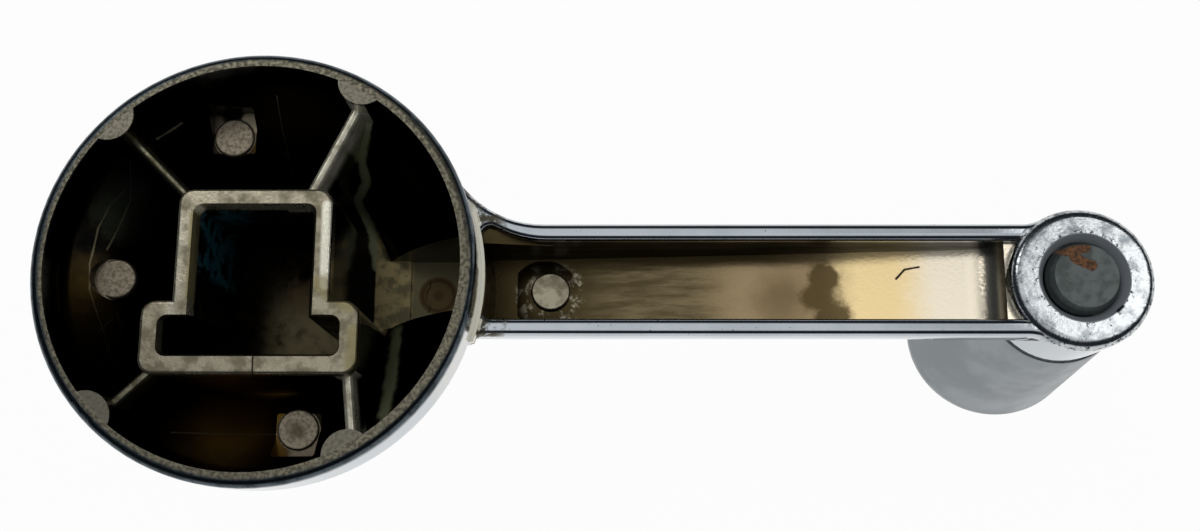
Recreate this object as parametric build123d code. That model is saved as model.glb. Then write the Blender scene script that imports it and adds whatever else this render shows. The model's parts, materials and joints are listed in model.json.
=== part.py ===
"""Crank handle: a die-cast hub and arm, with a knob that spins on a headed steel pin.

Millimetres. The origin is on the shaft axis, in the plane of the hub's rim. +Z points out of the open back,
towards the shaft, +X runs along the arm to the knob, and the knob points to -Z.
"""

from build123d import *
from math import atan2, cos, degrees, hypot, radians, sin, sqrt
import os

# --- Casting: overall -----------------------------------------------------------------------------------
THROW = 100.0  # shaft axis to knob axis
CAST_DRAFT = 3.0  # lean of cast walls, degrees

# --- Casting: hub dish ----------------------------------------------------------------------------------
RIM_RADIUS = 26.3  # outside of the rim
RIM_WIDTH = 1.75  # rim's outside to its mouth
RIM_EDGE = 1.1  # round on the rim's outer edge
SKIRT_DEPTH = 7.5  # straight part of the hub's side
CROWN_INSET = 9.1  # the edge of the front lies this far inside the rim's outside
CROWN_RISE = 0.9  # how far the front swells
HUB_DEPTH = 18.0  # rim plane to the crown's edge
BELL_SWEEP = 25.7  # radius of the hollow sweep from the skirt to the crown
SHOULDER_ROUND = 3.0
CROWN_ROUND = 4.0
FRONT_WALL = 2.5  # floor of the dish to the edge of the front
DISH_SKIRT = 4.3  # straight part of the dish's side
DISH_FLOOR_INSET = 12.2  # the edge of the dish's floor lies this far inside the rim's outside
DISH_SWEEP = 27.6
DISH_SHOULDER = 2.0
DISH_FILLET = 1.5

# --- Casting: hat-shaped socket for the shaft end -------------------------------------------------------
SOCKET_SQUARE = 13.2  # the square that takes the shaft's head, centred on the axis
SLOT_WIDTH = 20.4  # the wide slot beside the square
SLOT_NEAR = 6.15  # near side of the slot, from the axis
SLOT_FAR = 10.6  # far side of the slot, from the axis
SOCKET_WALL = 2.6
SHOULDER_WALL = 1.75  # the wall above the slot's ends
SOCKET_TOP = 0.4  # top of the socket's wall, below the rim plane
SOCKET_SINK = 0.3  # the socket's floor lies this far below the dish's
LEAD_IN = 0.75  # width of the lead-in round the square's mouth
SLOT_LEAD_IN = 0.5
LEAD_IN_DEPTH = 1.4
SOCKET_CORNER = 1.8  # round on the wall's outer corners
HOLLOW_CORNER = 0.8  # round in the hollow's corners
SOCKET_LIP = 0.45  # round on the top of the wall

# --- Casting: lobes, ribs and ejector posts -------------------------------------------------------------
LOBE_RADIUS = 3.0
LOBE_INSET = 0.6  # a lobe's centre lies this far inside the rim's outside
ARM_SIDE_LOBES = 61.5  # angle of a lobe from the arm, on each side of it
FAR_LOBES = 135.0
RIB_THICKNESS = 1.25
RIB_ROUND = 0.55
RIB_TOP = 2.4  # top of a rib, below the rim plane
RIB_START_X = 5.0  # where the arm side's upper rib leaves the socket
POST_RADIUS = 2.55
POST_INSET = 7.0  # a post's centre lies this far inside the rim's outside
POST_TOP = 7.3  # top of a post, below the rim plane
POST_ANGLES = (180.0, 107.0, 283.0)
POST_EDGE = 0.35
POST_CLEAR = 0.1  # gap round a post's end, where it stands in the slope
PAD_ANGLES = (107.0, 283.0)  # posts with a square pad behind them
PAD_SIDE = 5.4
PAD_DROP = 0.45  # the pad lies this far below the post
PAD_OFFSET = 0.7  # the pad's centre lies this far outside the post's

# --- Casting: arm ---------------------------------------------------------------------------------------
RAIL_TOP = 7.0  # top of the rails, below the rim plane
RAIL_ROUND = 0.8
ARM_HALF_WIDTH = 7.1
RAIL_WIDTH = 2.15
ARM_BULGE_RADIUS = 15.0  # side of the arm, seen end on
RAIL_HEIGHT = 1.5  # straight part of the arm's side
ARM_START = 11.0  # where the arm leaves the hub's crown
ARM_FRONT_DROP = 0.1  # the arm's front starts this far below the edge of the hub's front
ARM_FRONT_AT_EYE = 11.8  # front of the arm at the knob axis, below the rim plane
ARM_FRONT_ROUND = 3.0
ARM_FLOOR = 1.6  # thickness of the channel's floor
CREST_WIDTH = 0.45  # crest between the hub's side and the channel, which follows the hub
CHANNEL_FLARE = 13.5  # the channel widens into the upper flare
CHANNEL_SPREAD = 0.51  # the share of the arm's own widening that it has at the hub
CHANNEL_RISE = 5.0  # radius of the floor's rise to the eye
CHANNEL_RISE_X = 13.3  # start of that rise, from the knob axis
CREST_TOP = 6.2  # top of that crest, below the rim plane
CHANNEL_CORNER = 1.0  # round in the channel's corners at the hub
FLARE_FLOOR = 2.5  # depth of the pocket where the channel widens
FLARE_LEAN = 45.0  # lean of that pocket's walls, degrees
ROOT_FLARE = 13.0  # fillet between the arm's upper side and the hub
ROOT_FLARE_LOW = 1.5  # the same on the lower side
ROOT_START = 17.0  # the flare starts this far from the shaft axis, inside the hub
ROOT_WEB = 4.5  # height of the leaning part of that fillet
ROOT_LEAN = 50.0  # lean of that fillet under the bell, degrees
EYE_FLARE = 5.0  # fillet between the arm and the eye
EYE_WEB = 3.2  # height of that fillet, below the rails' straight part
EYE_LEAN = 6.0  # lean of that fillet, degrees: more than the arm's own side
TRENCH_INSET = 0.3  # the trench stops this far inside the rim's mouth
TRENCH_HALF_WIDTH = 4.55  # floor between the socket and the arm
TRENCH_STEP_X = 15.9
TRENCH_STEP = 0.4
RING_X = 19.5  # ejector mark on that floor
RING_RADIUS = 2.55
RING_BORE = 1.6
RING_HEIGHT = 0.25
ARM_POST_X = 34.4
ARM_POST_TOP = 13.4
MOUND_HEIGHT = 0.7  # low mound round that post
MOUND_RADIUS = 4.4

# --- Casting: eye for the knob pin ----------------------------------------------------------------------
EYE_RADIUS = 8.9
EYE_TOP = 6.5  # lip of the eye, below the rim plane
EYE_EDGE = 1.25
EYE_BOTTOM = 14.7
COUNTERBORE_DEPTH = 1.9
CHAMFER_WIDTH = 0.8  # chamfer round the counterbore's mouth
CHAMFER_HEIGHT = 1.0

# --- Knob pin -------------------------------------------------------------------------------------------
PIN_RADIUS = 3.0
PIN_RUNNING_GAP = 0.06  # radial, in the eye
HEAD_RADIUS = 4.6
HEAD_GAP = 0.15  # radial, in the counterbore
HEAD_HEIGHT = 2.4
HEAD_FACE_RADIUS = 3.9
HEAD_TAPER_HEIGHT = 1.2
HEAD_PLAY = 0.1  # under the head
PIN_END = 31.0  # end of the shank, below the rim plane
PIN_POINT = 0.6

# --- Knob -----------------------------------------------------------------------------------------------
KNOB_GAP = 0.3  # between the eye and the knob
KNOB_NECK_RADIUS = 9.1
KNOB_NECK_EDGE = 0.35
KNOB_RADIUS = 12.6
KNOB_WIDEST = 23.0  # neck to the widest place
KNOB_END_ROUND = 4.8
KNOB_CROWN = 1.2
BORE_SPARE = 0.8  # depth of the knob's bore past the pin

# --- Worked out from the sizes above --------------------------------------------------------------------
MOUTH_RADIUS = RIM_RADIUS - RIM_WIDTH
CROWN_RADIUS = RIM_RADIUS - CROWN_INSET
DISH_DEPTH = HUB_DEPTH - FRONT_WALL
DISH_FLOOR_RADIUS = RIM_RADIUS - DISH_FLOOR_INSET
SOCKET_DEPTH = DISH_DEPTH + SOCKET_SINK
LOBE_CIRCLE = RIM_RADIUS - LOBE_INSET
POST_CIRCLE = RIM_RADIUS - POST_INSET
CHANNEL_START = RIM_RADIUS + CREST_WIDTH
CHANNEL_HALF_WIDTH = ARM_HALF_WIDTH - RAIL_WIDTH
COUNTERBORE_RADIUS = HEAD_RADIUS + HEAD_GAP
RAIL_FOOT = RAIL_TOP + RAIL_HEIGHT
FAR = THROW  # longer than any cut needs to be
CLOSE = RIM_RADIUS / 10000  # two places this near are the same


def polar(radius, angle):
    """Point at a radius and an angle in degrees."""
    return radius * cos(radians(angle)), radius * sin(radians(angle))


def nearest(shape, radius, z):
    """The vertex of an XZ section that lies nearest to a radius and a height."""
    return shape.vertices().sort_by(lambda v: hypot(v.X - radius, v.Z - z))[0]


def swelling(edge, apex):
    """Arc from the edge of a round face to its raised middle."""
    half, rise = edge[0] / 2, apex[1] - edge[1]
    radius = (edge[0] ** 2 + rise**2) / (2 * abs(rise))
    sag = radius - sqrt(radius**2 - half**2)
    return ThreePointArc(edge, (half, apex[1] - sag * (1 if rise > 0 else -1)), apex)


# --- Hub bell -------------------------------------------------------------------------------------------
def bell_section(radius, skirt, sweep, crown_radius, depth, rise):
    """Half section of a bell: flat back, straight skirt, hollow sweep and a front that swells by rise."""
    start, end = Vector(radius, -skirt), Vector(crown_radius, -depth)
    chord = end - start
    sag = sweep - sqrt(sweep**2 - (chord.length / 2) ** 2)
    middle = (start + end) / 2 + Vector(chord.Y, -chord.X).normalized() * sag
    with BuildSketch(Plane.XZ) as section:
        with BuildLine():
            Polyline((0, -depth - rise), (0, 0), (radius, 0), (radius, -skirt))
            ThreePointArc((radius, -skirt), (middle.X, middle.Y), (crown_radius, -depth))
            if rise > 0:
                swelling((crown_radius, -depth), (0, -depth - rise))
            else:
                Line((crown_radius, -depth), (0, -depth))
        make_face()
    return section.sketch


def hub_bell():
    """Outside of the hub, with the rim's round."""
    section = bell_section(RIM_RADIUS, SKIRT_DEPTH, BELL_SWEEP, CROWN_RADIUS, HUB_DEPTH, CROWN_RISE)
    section = fillet(nearest(section, RIM_RADIUS, 0), RIM_EDGE)
    section = fillet(nearest(section, RIM_RADIUS, -SKIRT_DEPTH), SHOULDER_ROUND)
    return revolve(fillet(nearest(section, CROWN_RADIUS, -HUB_DEPTH), CROWN_ROUND), Axis.Z)


def dish_hollow():
    """Inside of the hub."""
    section = bell_section(MOUTH_RADIUS, DISH_SKIRT, DISH_SWEEP, DISH_FLOOR_RADIUS, DISH_DEPTH, 0)
    section = fillet(nearest(section, MOUTH_RADIUS, -DISH_SKIRT), DISH_SHOULDER)
    return revolve(fillet(nearest(section, DISH_FLOOR_RADIUS, -DISH_DEPTH), DISH_FILLET), Axis.Z)


# --- Arm and eye ----------------------------------------------------------------------------------------
def arm_front(x):
    """Depth of the arm's front at a distance from the shaft axis."""
    start = HUB_DEPTH + ARM_FRONT_DROP
    return start + (ARM_FRONT_AT_EYE - start) * (x - ARM_START) / (THROW - ARM_START)


def arm_section(x):
    """End-on section of the solid arm below its rails: bulged sides and a rounded front."""
    front = arm_front(x)
    sag = ARM_BULGE_RADIUS - sqrt(ARM_BULGE_RADIUS**2 - (front - RAIL_FOOT) ** 2)
    wide, narrow = ARM_HALF_WIDTH, ARM_HALF_WIDTH - sag
    with BuildSketch(Plane.YZ.offset(x)) as section:
        with BuildLine():
            Line((-wide, -RAIL_FOOT), (wide, -RAIL_FOOT))
            RadiusArc((wide, -RAIL_FOOT), (narrow, -front), ARM_BULGE_RADIUS)
            Line((narrow, -front), (-narrow, -front))
            RadiusArc((-narrow, -front), (-wide, -RAIL_FOOT), ARM_BULGE_RADIUS)
        make_face()
        fillet([v for v in section.vertices() if abs(v.Z + front) < CLOSE], ARM_FRONT_ROUND)
    return section.sketch


def flared_plan(centre_x, radius, upper, lower):
    """Plan of the arm where it meets a round body: the arm's strip with a fillet on each side."""
    strip = Pos((centre_x + THROW / 2) / 2, 0) * Rectangle(THROW / 2, 2 * ARM_HALF_WIDTH)
    plan = strip + Pos(centre_x, 0) * Circle(radius)
    for side, flare in ((ARM_HALF_WIDTH, upper), (-ARM_HALF_WIDTH, lower)):
        corner = [v for v in plan.vertices() if abs(v.Y - side) < CLOSE and abs(v.X - THROW / 2) > CLOSE]
        plan = fillet(corner, flare)
    return plan


def root_plan():
    """Plan of the arm's flare into the hub."""
    upper, lower = flare_foot(ROOT_FLARE), flare_foot(ROOT_FLARE_LOW)
    window = Pos(ROOT_START + FAR / 2, (upper - lower) / 2) * Rectangle(FAR, upper + lower)
    return flared_plan(0, RIM_RADIUS, ROOT_FLARE, ROOT_FLARE_LOW) & window


def eye_plan():
    """Plan of the arm's flare into the eye."""
    plan = flared_plan(THROW, EYE_RADIUS, EYE_FLARE, EYE_FLARE)
    return plan & Pos(THROW - FAR / 2, 0) * Rectangle(FAR, FAR)


def flare_foot(flare):
    """How far from the arm's middle line a flare touches the rim."""
    return RIM_RADIUS * (ARM_HALF_WIDTH + flare) / (RIM_RADIUS + flare)


def on_top(shape, depth):
    """Edges of a shape that lie in the plane at a depth."""
    return [e for e in shape.edges() if max(abs(v.Z + depth) for v in (e @ 0, e @ 0.5, e @ 1)) < CLOSE]


def rails():
    """Tops of the arm's sides from the hub to the eye, rounded inside and out."""
    hub, eye = Circle(MOUTH_RADIUS), Pos(THROW, 0) * Circle(COUNTERBORE_RADIUS + CHAMFER_WIDTH)
    plan = root_plan() + eye_plan() - channel_plan() - hub - eye
    slab = extrude(Pos(0, 0, -RAIL_TOP) * plan, RAIL_TOP - RAIL_FOOT)
    past_hub = [e for e in on_top(slab, RAIL_TOP) if hypot(e.center().X, e.center().Y) > RIM_RADIUS]
    outside_eye = [e for e in past_hub if hypot(e.center().X - THROW, e.center().Y) > EYE_RADIUS - CLOSE]
    return fillet([e for e in outside_eye if e.center().X < THROW - EYE_RADIUS / 2], RAIL_ROUND)


def arm_root():
    """The leaning part of the arm's flare, under the bell."""
    flare = root_plan() & Rectangle(2 * (RIM_RADIUS + ROOT_FLARE), FAR)
    return extrude(Pos(0, 0, -RAIL_FOOT) * flare, -ROOT_WEB, taper=ROOT_LEAN)


def arm_bar():
    """The solid arm below its rails, hub to eye."""
    return loft([arm_section(ARM_START), arm_section(THROW)])


def eye_blank():
    """The round eye before boring, with its rounded lip and its fillets into the arm."""
    lip = Pos(THROW, 0, -EYE_BOTTOM) * extrude(Circle(EYE_RADIUS), EYE_BOTTOM - EYE_TOP)
    lip = fillet(lip.edges().sort_by(Axis.Z)[-1], EYE_EDGE)
    flare = eye_plan() & Pos(THROW, 0) * Rectangle(4 * EYE_RADIUS, FAR)
    return lip + extrude(Pos(0, 0, -RAIL_FOOT) * flare, -EYE_WEB, taper=EYE_LEAN)


def crest():
    """The ridge between the hub's side and the channel."""
    ring = Circle(CHANNEL_START) - Circle(MOUTH_RADIUS + RIM_WIDTH / 2)
    ring &= Pos(CHANNEL_START, 0) * Rectangle(CHANNEL_START, 2 * channel_mouth())
    return extrude(Pos(0, 0, -RAIL_TOP - CREST_WIDTH) * ring, RAIL_TOP + CREST_WIDTH - CREST_TOP)


def channel_mouth():
    """Half-width of the channel at the hub, on its widened side."""
    return CHANNEL_HALF_WIDTH + CHANNEL_SPREAD * (flare_foot(ROOT_FLARE) - ARM_HALF_WIDTH)


def channel_plan():
    """Plan of the channel at the rails: it widens into the upper flare and stops at the eye."""
    half, flare, mouth = CHANNEL_HALF_WIDTH, CHANNEL_FLARE, channel_mouth()
    mouth_x = sqrt(CHANNEL_START**2 - mouth**2)
    tangent_x = mouth_x + sqrt(flare**2 - (half + flare - mouth) ** 2)
    with BuildSketch(Plane.XY) as plan:
        with BuildLine():
            Polyline(
                (mouth_x, mouth),
                (0, mouth),
                (0, -half),
                (THROW, -half),
                (THROW, half),
                (tangent_x, half),
            )
            RadiusArc((tangent_x, half), (mouth_x, mouth), flare)
        make_face()
    outline = plan.sketch - Circle(CHANNEL_START) - Pos(THROW, 0) * Circle(EYE_RADIUS)
    hub_corners = [v for v in outline.vertices() if abs(hypot(v.X, v.Y) - CHANNEL_START) < CLOSE]
    return fillet(hub_corners, CHANNEL_CORNER)


def above_floor():
    """Everything above the channel's floor, with the floor's rise to the eye."""
    rise_x = THROW - CHANNEL_RISE_X
    floor_start, floor_end = arm_front(0) - ARM_FLOOR, arm_front(rise_x) - ARM_FLOOR
    with BuildSketch(Plane.XZ) as above:
        with BuildLine():
            Polyline(
                (rise_x + CHANNEL_RISE, -floor_end + CHANNEL_RISE),
                (rise_x + CHANNEL_RISE, 0),
                (0, 0),
                (0, -floor_start),
                (rise_x, -floor_end),
            )
            CenterArc((rise_x, -floor_end + CHANNEL_RISE), CHANNEL_RISE, -90, 90)
        make_face()
    return extrude(above.sketch, FAR, both=True)


def channel():
    """Hollow of the arm below its rails, with a leaning pocket where it widens."""
    plan = Pos(0, 0, -RAIL_FOOT) * channel_plan()
    strip = plan & Pos(0, 0, -RAIL_FOOT) * Rectangle(2 * FAR, 2 * CHANNEL_HALF_WIDTH)
    deep = extrude(strip, -HUB_DEPTH, taper=CAST_DRAFT)
    return (deep + extrude(plan, -FLARE_FLOOR, taper=FLARE_LEAN)) & above_floor()


def trench():
    """Hollow from the socket to the arm, below the slope of the dish, with a step in its floor."""
    inside = Circle(MOUTH_RADIUS - TRENCH_INSET)
    near = Pos(FAR / 2, 0) * Rectangle(FAR, 2 * TRENCH_HALF_WIDTH) & inside
    far = Pos(TRENCH_STEP_X + FAR / 2, 0) * Rectangle(FAR, 2 * TRENCH_HALF_WIDTH) & inside
    upper = extrude(Pos(0, 0, -DISH_DEPTH) * near, DISH_DEPTH)
    return upper + extrude(Pos(0, 0, -DISH_DEPTH - TRENCH_STEP) * far, DISH_DEPTH)


def hat_plan(half_square, half_slot, near, far):
    """Plan of the socket: a square on the axis with a wider slot across its lower side."""
    square = Pos(0, (half_square - far) / 2) * Rectangle(2 * half_square, half_square + far)
    return square + Pos(0, -(near + far) / 2) * Rectangle(2 * half_slot, far - near)


def outer_corners(plan, half_square):
    """Corners of a socket plan, without the two where the slot meets the square."""
    return [v for v in plan.vertices() if abs(abs(v.X) - half_square) > CLOSE or v.Y > 0]


def socket_wall():
    """Upright wall of the socket, with its lip."""
    half = SOCKET_SQUARE / 2 + SOCKET_WALL
    plan = hat_plan(half, SLOT_WIDTH / 2 + SOCKET_WALL, SLOT_NEAR - SHOULDER_WALL, SLOT_FAR + SOCKET_WALL)
    plan = fillet(outer_corners(plan, half), SOCKET_CORNER)
    wall = extrude(Pos(0, 0, -SOCKET_TOP) * plan, SOCKET_TOP - SOCKET_DEPTH)
    return fillet(on_top(wall, SOCKET_TOP), SOCKET_LIP)


def socket_hollow():
    """Hollow of the socket, with the lead-in round its mouth."""
    half = SOCKET_SQUARE / 2
    bore = hat_plan(half, SLOT_WIDTH / 2, SLOT_NEAR, SLOT_FAR)
    bore = fillet(outer_corners(bore, half), HOLLOW_CORNER)
    mouth = hat_plan(half + LEAD_IN, SLOT_WIDTH / 2 + SLOT_LEAD_IN, SLOT_NEAR, SLOT_FAR + SLOT_LEAD_IN)
    mouth = fillet(outer_corners(mouth, half + LEAD_IN), HOLLOW_CORNER + LEAD_IN / 2)
    lead = loft([Pos(0, 0, -SOCKET_TOP - LEAD_IN_DEPTH) * bore, Pos(0, 0, -SOCKET_TOP) * mouth], ruled=True)
    return extrude(Pos(0, 0, -SOCKET_DEPTH) * bore, SOCKET_DEPTH) + lead


def lobes():
    """Flats on the rim's inside, where ribs meet it."""
    post = Pos(0, 0, -HUB_DEPTH) * extrude(Circle(LOBE_RADIUS), HUB_DEPTH)
    angles = (ARM_SIDE_LOBES, -ARM_SIDE_LOBES, FAR_LOBES, -FAR_LOBES)
    return [Pos(*polar(LOBE_CIRCLE, angle)) * post for angle in angles]


def rib(start, end):
    """An upright rib between two points of the plan, with a rounded top."""
    span = Vector(*end) - Vector(*start)
    turn = Rot(0, 0, degrees(atan2(span.Y, span.X)))
    plan = turn * Pos(span.length / 2, 0) * Rectangle(span.length, RIB_THICKNESS)
    blade = extrude(Pos(0, 0, -HUB_DEPTH) * plan, HUB_DEPTH - RIB_TOP)
    long_edges = [e for e in on_top(blade, RIB_TOP) if e.length > RIB_THICKNESS + CLOSE]
    return Pos(*start) * fillet(long_edges, RIB_ROUND)


def ribs():
    """The four ribs, each from the socket to its lobe."""
    inset = SOCKET_WALL - SOCKET_CORNER
    square, slot, low = SOCKET_SQUARE / 2 + inset, SLOT_WIDTH / 2 + inset, SLOT_FAR + inset
    starts = {
        FAR_LOBES: (-square, square),
        -FAR_LOBES: (-slot, -low),
        ARM_SIDE_LOBES: (RIB_START_X, square),
        -ARM_SIDE_LOBES: (slot, -low),
    }
    return [rib(start, polar(LOBE_CIRCLE, angle)) for angle, start in starts.items()]


def posts():
    """Ejector posts with the square pads behind two of them, and what is cut from the slope above them."""
    added, cut = [], []
    for angle in POST_ANGLES:
        x, y = polar(POST_CIRCLE, angle)
        post = Pos(x, y, -HUB_DEPTH) * extrude(Circle(POST_RADIUS), HUB_DEPTH - POST_TOP)
        added.append(fillet(post.edges().sort_by(Axis.Z)[-1], POST_EDGE))
        cut.append(Pos(x, y, -POST_TOP) * extrude(Circle(POST_RADIUS + POST_CLEAR), POST_TOP))
        if angle in PAD_ANGLES:
            pad = Pos(x, y + (PAD_OFFSET if y > 0 else -PAD_OFFSET)) * Rectangle(PAD_SIDE, PAD_SIDE)
            pad = fillet(pad.vertices(), POST_EDGE)
            top = POST_TOP + PAD_DROP
            added.append(extrude(Pos(0, 0, -HUB_DEPTH) * pad, HUB_DEPTH - top))
            cut.append(extrude(Pos(0, 0, -top) * pad, top))
    return added, cut


def ejector_ring():
    """Ring left by an ejector in the trench floor."""
    ring = Circle(RING_RADIUS) - Circle(RING_BORE)
    return Pos(RING_X, 0, -DISH_DEPTH - TRENCH_STEP - RING_HEIGHT) * extrude(ring, 2 * RING_HEIGHT)


def arm_post():
    """Ejector post in the channel, on a low mound."""
    front = arm_front(ARM_POST_X)
    post = Pos(ARM_POST_X, 0, -front) * extrude(Circle(POST_RADIUS), front - ARM_POST_TOP)
    ball = (MOUND_RADIUS**2 + MOUND_HEIGHT**2) / (2 * MOUND_HEIGHT)
    floor = front - ARM_FLOOR
    mound = Pos(ARM_POST_X, 0, -floor + MOUND_HEIGHT - ball) * Sphere(ball)
    mound &= Pos(ARM_POST_X, 0, -floor) * Box(2 * MOUND_RADIUS, 2 * MOUND_RADIUS, 2 * MOUND_HEIGHT)
    return fillet(post.edges().sort_by(Axis.Z)[-1], POST_EDGE), mound


def eye_bore():
    """Chamfered counterbore for the pin's head and the running bore for its shank."""
    floor = EYE_TOP + COUNTERBORE_DEPTH
    mouth = COUNTERBORE_RADIUS + CHAMFER_WIDTH
    bore = PIN_RADIUS + PIN_RUNNING_GAP
    with BuildSketch(Plane.XZ) as section:
        with BuildLine():
            Polyline(
                (0, -2 * EYE_BOTTOM),
                (0, 0),
                (mouth, 0),
                (mouth, -EYE_TOP),
                (COUNTERBORE_RADIUS, -EYE_TOP - CHAMFER_HEIGHT),
                (COUNTERBORE_RADIUS, -floor),
                (bore, -floor),
                (bore, -2 * EYE_BOTTOM),
                close=True,
            )
        make_face()
    return Pos(THROW, 0) * revolve(section.sketch, Axis.Z)


def casting():
    """The hub, arm and eye: one die casting."""
    bell = hub_bell()
    body = bell + arm_bar() + eye_blank() + arm_root()
    body -= channel()
    body += [rails(), crest(), *arm_post()]
    body -= dish_hollow()
    body -= trench()
    added, pockets = posts()
    body -= pockets
    fillings = Part() + [socket_wall(), ejector_ring(), *lobes(), *ribs(), *added]
    body += fillings & bell
    body -= socket_hollow()
    return body - eye_bore()


# --- Knob and its pin -----------------------------------------------------------------------------------
def knob_pin():
    """Headed pin: the head turns in the eye's counterbore and the shank is pressed into the knob."""
    under = EYE_TOP + COUNTERBORE_DEPTH - HEAD_PLAY
    with BuildSketch(Plane.XZ) as section:
        with BuildLine():
            Polyline(
                (0, -PIN_END),
                (0, -under + HEAD_HEIGHT),
                (HEAD_FACE_RADIUS, -under + HEAD_HEIGHT),
                (HEAD_RADIUS, -under + HEAD_HEIGHT - HEAD_TAPER_HEIGHT),
                (HEAD_RADIUS, -under),
                (PIN_RADIUS, -under),
                (PIN_RADIUS, -PIN_END + PIN_POINT),
                (PIN_RADIUS - PIN_POINT, -PIN_END),
                close=True,
            )
        make_face()
    return Pos(THROW, 0) * revolve(section.sketch, Axis.Z)


def knob():
    """Turned knob: a flank that widens from the neck to a rounded end, with a blind bore for the pin."""
    neck, widest = EYE_BOTTOM + KNOB_GAP, EYE_BOTTOM + KNOB_GAP + KNOB_WIDEST
    end = widest + KNOB_END_ROUND
    bore_end = PIN_END + BORE_SPARE
    with BuildSketch(Plane.XZ) as section:
        with BuildLine():
            crown_r = KNOB_RADIUS - KNOB_END_ROUND
            Polyline(
                (KNOB_RADIUS, -widest),
                (KNOB_NECK_RADIUS, -neck),
                (PIN_RADIUS, -neck),
                (PIN_RADIUS, -bore_end),
                (0, -bore_end),
                (0, -end - KNOB_CROWN),
            )
            swelling((crown_r, -end), (0, -end - KNOB_CROWN))
            CenterArc((crown_r, -widest), KNOB_END_ROUND, -90, 90)
        make_face()
        fillet(nearest(section, KNOB_NECK_RADIUS, -neck), KNOB_NECK_EDGE)
    return Pos(THROW, 0) * revolve(section.sketch, Axis.Z)


if __name__ == "__main__":
    os.makedirs("parts", exist_ok=True)
    for name, piece in (("crank_casting", casting()), ("knob_pin", knob_pin()), ("knob", knob())):
        piece.label = name
        export_step(piece, f"parts/{name}.step")
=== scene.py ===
"""Crank handle: surface finishes, studio and camera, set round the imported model.

Metres. The frame is the model's own: the shaft axis is Z through the origin, the rim lies in the plane Z = 0,
+Z points out of the open back and +X runs along the arm. Patterns are worked out in millimetres.
"""

import json
import logging
from collections.abc import Sequence
from dataclasses import dataclass
from enum import Enum
from math import cos, radians, sin
from typing import NamedTuple

import bpy
from mathutils import Matrix, Vector

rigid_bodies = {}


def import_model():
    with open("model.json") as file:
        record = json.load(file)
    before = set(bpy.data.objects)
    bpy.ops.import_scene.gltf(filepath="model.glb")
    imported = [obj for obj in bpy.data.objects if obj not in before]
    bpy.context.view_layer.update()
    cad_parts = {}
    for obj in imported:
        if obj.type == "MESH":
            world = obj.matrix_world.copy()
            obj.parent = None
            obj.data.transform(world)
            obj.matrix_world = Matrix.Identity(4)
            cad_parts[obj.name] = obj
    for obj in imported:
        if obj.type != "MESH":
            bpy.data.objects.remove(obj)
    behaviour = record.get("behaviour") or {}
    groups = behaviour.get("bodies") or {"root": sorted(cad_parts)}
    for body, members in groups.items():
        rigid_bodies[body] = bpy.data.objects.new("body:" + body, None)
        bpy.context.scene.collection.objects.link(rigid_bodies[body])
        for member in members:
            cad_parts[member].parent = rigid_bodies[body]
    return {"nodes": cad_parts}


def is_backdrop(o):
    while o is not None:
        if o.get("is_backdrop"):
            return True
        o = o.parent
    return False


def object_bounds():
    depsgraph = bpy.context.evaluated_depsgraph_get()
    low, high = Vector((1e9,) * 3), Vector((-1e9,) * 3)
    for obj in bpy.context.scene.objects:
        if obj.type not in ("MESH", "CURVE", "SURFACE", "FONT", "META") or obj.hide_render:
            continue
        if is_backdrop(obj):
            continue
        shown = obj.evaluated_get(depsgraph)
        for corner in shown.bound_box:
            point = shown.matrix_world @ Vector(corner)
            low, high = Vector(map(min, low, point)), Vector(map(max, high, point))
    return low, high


LOG = logging.getLogger("crank_handle")
MM = 0.001

# Places of the mix node's sockets, which share their names.
VALUE_A, VALUE_B, VALUE_RESULT = 2, 3, 0
COLOUR_A, COLOUR_B, COLOUR_RESULT = 6, 7, 2


class Node(Enum):
    """Pieces of the model that are dressed here and keep their own shape."""

    CASTING = "crank_casting"
    PIN = "knob_pin"
    KNOB = "knob"


def linear(hex_colour: str) -> tuple[float, float, float, float]:
    """Turn an sRGB hex colour into linear RGBA.

    Args:
        hex_colour: six hex digits, with or without a leading #.

    Returns:
        Red, green, blue and an alpha of 1, as Blender's sockets take them.
    """
    digits = hex_colour.lstrip("#")
    parts = [int(digits[i : i + 2], 16) / 255 for i in (0, 2, 4)]
    # The curve that the sRGB standard gives: straight near black, a power above it.
    red, green, blue = (p / 12.92 if p <= 0.04045 else ((p + 0.055) / 1.055) ** 2.4 for p in parts)
    return red, green, blue, 1.0


def add_node(
    tree: bpy.types.NodeTree, kind: str, inputs: dict | None = None, **settings: object
) -> bpy.types.Node:
    """Add a node, set its properties, and link or fill its inputs.

    Args:
        tree: the node tree that gets it.
        kind: Blender's name for the node type.
        inputs: input name or number, to a socket to link from or a value to set.
        **settings: properties of the node itself, such as operation.

    Returns:
        The new node.
    """
    node = tree.nodes.new(kind)
    for name, value in settings.items():
        setattr(node, name, value)
    for key, value in (inputs or {}).items():
        if isinstance(value, bpy.types.NodeSocket):
            tree.links.new(value, node.inputs[key])
        else:
            node.inputs[key].default_value = value
    return node


# --- Masks ------------------------------------------------------------------------------------------------


class Pattern(Enum):
    """Irregular patterns that the finishes share: a patch's width in millimetres, and how it is drawn out."""

    BROAD = (9.0, (1.0, 1.0, 1.0))  # clouds of tarnish
    MIDDLE = (2.0, (1.0, 1.0, 1.0))  # spots of wear and dirt
    FINE = (0.45, (1.0, 1.0, 1.0))  # tooth and pits; the real ones are finer, and wouldn't show
    DRAWN = (1.6, (0.12, 1.0, 1.0))  # streaks along the arm


class Edge(NamedTuple):
    """Edge of a mask, in millimetres or in the measure that the mask follows.

    Attributes:
        clear: value where the mask is 0.
        full: value where it is full, above or below the other.
        ragged: how far a pattern moves the edge to and fro.
        pattern: the pattern that moves it.
        strength: the mask where it is full.
    """

    clear: float
    full: float
    ragged: float = 0.0
    pattern: Pattern = Pattern.MIDDLE
    strength: float = 1.0


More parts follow.
